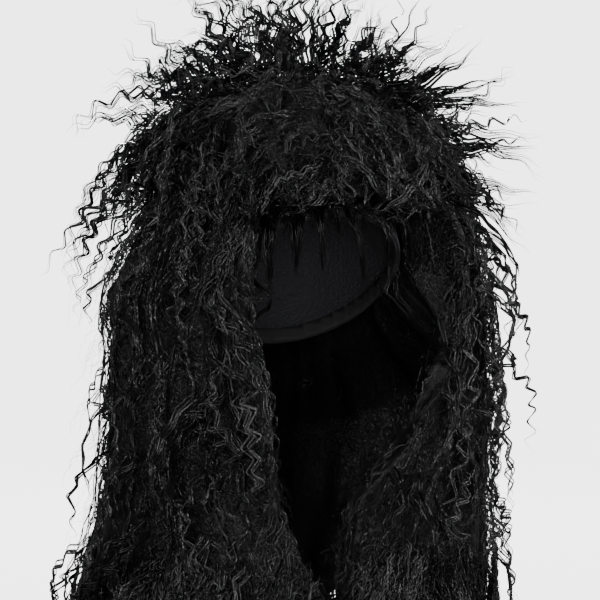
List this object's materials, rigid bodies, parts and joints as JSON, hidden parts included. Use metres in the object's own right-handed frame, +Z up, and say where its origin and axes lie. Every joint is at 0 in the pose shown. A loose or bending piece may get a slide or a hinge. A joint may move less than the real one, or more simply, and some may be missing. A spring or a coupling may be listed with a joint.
{
  "type": "long crimped wig",
  "caption": "Long black crimped wig with a teased spiky crown, a wispy fringe and hair that hangs in two front curtains and one back curtain.",
  "frame": {"origin": "where the top of the wearer's head touches the inside of the cap", "axes": "+Z up, -Y towards the side the wearer faces, +X towards the wearer's left"},
  "size_m": [0.4004, 0.3029, 0.5923],
  "materials": {
    "hair": "satin synthetic fibre, crimped",
    "cap_knit": "matt stretch knit",
    "elastic": "matt woven elastic"
  },
  "bodies": {
    "root": {"wig_cap": "cap_knit", "cap_band": "elastic", "crown_hair": "hair", "fringe_hair": "hair", "right_curtain": "hair", "left_curtain": "hair", "back_curtain": "hair"}
  },
  "joints": []
}
